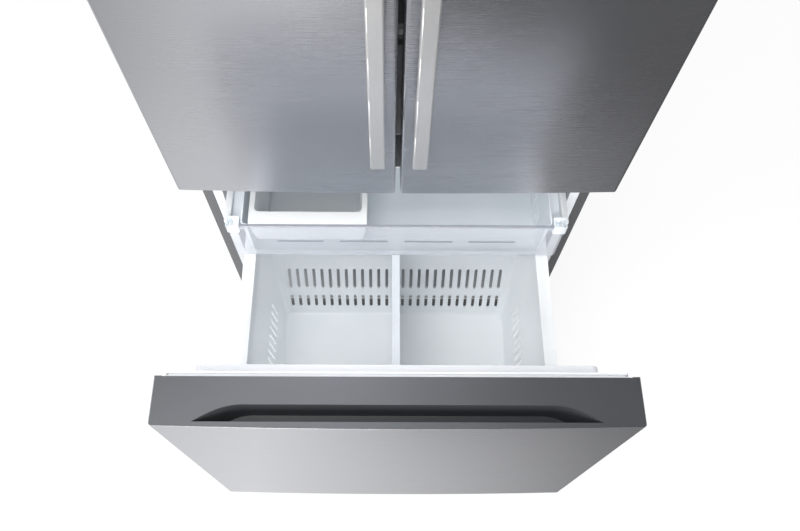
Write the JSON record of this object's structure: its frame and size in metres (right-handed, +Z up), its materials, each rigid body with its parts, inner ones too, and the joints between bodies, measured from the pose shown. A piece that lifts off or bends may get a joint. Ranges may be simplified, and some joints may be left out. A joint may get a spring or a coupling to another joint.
{
  "type": "bottom freezer refrigerator",
  "caption": "French-door refrigerator with bar handles over a pull-out freezer drawer, shown open on its baskets, with ice bin, glass shelves, crispers and cooling parts.",
  "frame": {"origin": "on the floor under the middle of the whole, with the freezer drawer out", "axes": "+X to the right seen from the front, +Y from the front to the back, +Z up"},
  "size_m": [0.908, 1.243, 1.782],
  "materials": {
    "stainless": "satin",
    "handle_metal": "satin",
    "case_paint": "satin",
    "case_light": "satin",
    "cap_grey": "matte",
    "liner_white": "satin",
    "basket_white": "satin",
    "clear_plastic": "gloss",
    "seal": "matte",
    "seal_light": "matte",
    "foam": "matte",
    "galvanized": "satin",
    "slide_steel": "satin",
    "dark_plastic": "matte",
    "gear_plastic": "matte",
    "black_steel": "satin",
    "coil": "satin",
    "shelf_glass": "gloss",
    "roller_plastic": "matte"
  },
  "bodies": {
    "cabinet": {"left_side_panel": "case_paint", "right_side_panel": "case_paint", "top_panel": "case_paint", "rear_panel": "galvanized", "base_pan": "galvanized", "insulation_foam": "foam", "fridge_liner": "liner_white", "freezer_liner": "liner_white", "mullion_bar": "case_light", "evaporator_cover": "liner_white", "evaporator_coil": "coil", "air_duct": "liner_white", "shelf_tracks": "galvanized", "glass_shelves": "shelf_glass", "crispers": "clear_plastic", "pantry_drawer": "clear_plastic", "door_hinges": "slide_steel", "hinge_covers": "cap_grey", "machine_cover": "galvanized", "compressor": "black_steel", "condenser_coil": "black_steel", "fan_shroud": "dark_plastic", "toe_grille": "cap_grey", "roller_brackets": "galvanized", "drawer_slide_fixed": "slide_steel", "drawer_racks": "gear_plastic", "basket_tracks": "basket_white"},
    "left_door": {"left_door_skin": "stainless", "left_door_caps": "cap_grey", "left_door_liner": "liner_white", "left_door_gasket": "seal", "left_door_handle": "handle_metal", "left_door_bins": "clear_plastic", "flipper_hinges": "dark_plastic"},
    "right_door": {"right_door_skin": "stainless", "right_door_caps": "cap_grey", "right_door_liner": "liner_white", "right_door_gasket": "seal", "right_door_handle": "handle_metal", "right_door_bins": "clear_plastic"},
    "flipper": {"flipper_mullion": "dark_plastic"},
    "freezer_drawer": {"drawer_skin": "stainless", "drawer_caps": "cap_grey", "drawer_liner": "liner_white", "drawer_gasket": "seal_light", "drawer_rails": "slide_steel", "lower_basket": "basket_white"},
    "divider": {"basket_divider": "clear_plastic"},
    "slide_middle": {"drawer_slide_middle": "slide_steel"},
    "anti_tilt": {"anti_tilt_shaft": "gear_plastic"},
    "upper_slides": {"upper_basket_slides": "slide_steel"},
    "upper_basket_body": {"upper_basket": "basket_white", "upper_basket_front": "clear_plastic", "ice_bin": "basket_white"},
    "left_roller": {"left_roller": "roller_plastic"},
    "right_roller": {"right_roller": "roller_plastic"},
    "left_foot": {"left_foot": "dark_plastic"},
    "right_foot": {"right_foot": "dark_plastic"},
    "condenser_fan": {"condenser_fan": "dark_plastic"},
    "evaporator_fan": {"evaporator_fan": "dark_plastic"}
  },
  "joints": [
    {"name": "left_door_hinge", "type": "hinge", "parent": "cabinet", "child": "left_door", "pos_m": [-0.438, -0.0615, 1.2], "axis": [0, 0, -1], "range_deg": [0, 120]},
    {"name": "right_door_hinge", "type": "hinge", "parent": "cabinet", "child": "right_door", "pos_m": [0.438, -0.0615, 1.2], "axis": [0, 0, 1], "range_deg": [0, 120]},
    {"name": "flipper_hinge", "type": "hinge", "parent": "left_door", "child": "flipper", "pos_m": [-0.03, 0.0063, 1.2], "axis": [0, 0, -1], "range_deg": [0, 90]},
    {"name": "drawer_slide", "type": "slide", "parent": "cabinet", "child": "freezer_drawer", "axis": [0, -1, 0], "range_m": [-0.502, 0]},
    {"name": "slide_middle_follow", "type": "slide", "parent": "cabinet", "child": "slide_middle", "axis": [0, -1, 0], "range_m": [-0.2511, 0]},
    {"name": "anti_tilt_roll", "type": "hinge", "parent": "freezer_drawer", "child": "anti_tilt", "pos_m": [0, 0.0125, 0.4197], "axis": [-1, 0, 0], "range_deg": [-1920, 1]},
    {"name": "upper_slides_follow", "type": "slide", "parent": "cabinet", "child": "upper_slides", "axis": [0, -1, 0], "range_m": [-0.1496, 0]},
    {"name": "upper_basket_slide", "type": "slide", "parent": "upper_slides", "child": "upper_basket_body", "axis": [0, -1, 0], "range_m": [0, 0.25]},
    {"name": "divider_slide", "type": "slide", "parent": "freezer_drawer", "child": "divider", "axis": [1, 0, 0], "range_m": [-0.1, 0.1]},
    {"name": "left_foot_screw", "type": "slide", "parent": "cabinet", "child": "left_foot", "axis": [0, 0, -1], "range_m": [0, 0.012]},
    {"name": "right_foot_screw", "type": "slide", "parent": "cabinet", "child": "right_foot", "axis": [0, 0, -1], "range_m": [0, 0.012]},
    {"name": "left_roller_spin", "type": "hinge", "parent": "cabinet", "child": "left_roller", "pos_m": [-0.374, 0.5615, 0.018], "axis": [1, 0, 0], "continuous": true},
    {"name": "right_roller_spin", "type": "hinge", "parent": "cabinet", "child": "right_roller", "pos_m": [0.374, 0.5615, 0.018], "axis": [1, 0, 0], "continuous": true},
    {"name": "condenser_fan_spin", "type": "hinge", "parent": "cabinet", "child": "condenser_fan", "pos_m": [0.059, 0.5375, 0.1275], "axis": [1, 0, 0], "continuous": true},
    {"name": "evaporator_fan_spin", "type": "hinge", "parent": "cabinet", "child": "evaporator_fan", "pos_m": [0, 0.5405, 0.546], "axis": [0, 1, 0], "continuous": true}
  ],
  "couplings": [
    {"joint": "slide_middle_follow", "follows": "drawer_slide", "ratio": 0.5},
    {"joint": "anti_tilt_roll", "follows": "drawer_slide", "rad_per_m": 66.667},
    {"joint": "upper_slides_follow", "follows": "drawer_slide", "ratio": 0.29781}
  ]
}
